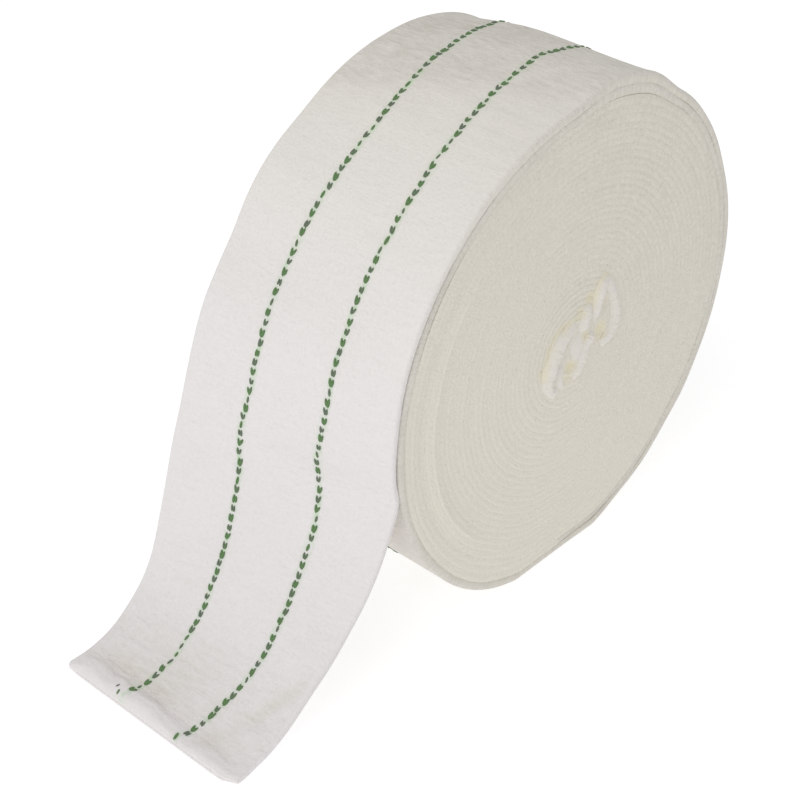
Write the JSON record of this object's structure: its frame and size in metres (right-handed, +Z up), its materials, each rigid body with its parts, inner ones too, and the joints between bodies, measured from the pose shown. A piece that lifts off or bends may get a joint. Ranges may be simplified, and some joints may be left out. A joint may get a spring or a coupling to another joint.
{
  "type": "elastic tubular bandage roll",
  "caption": "Wound roll of flattened elastic knit tube standing on its rim, with a loose end that runs down the front to the floor and ends in an open mouth.",
  "frame": {"origin": "middle of the roll's flat spot on the floor", "axes": "+X along the roll's axis toward the face with the open hub fold, -Y toward the loose end, +Z up"},
  "size_m": [0.0787, 0.234, 0.168],
  "materials": {
    "cloth": "matte undyed elastic cotton knit"
  },
  "bodies": {
    "root": {"roll": "cloth", "loose_end": "cloth"}
  },
  "joints": []
}
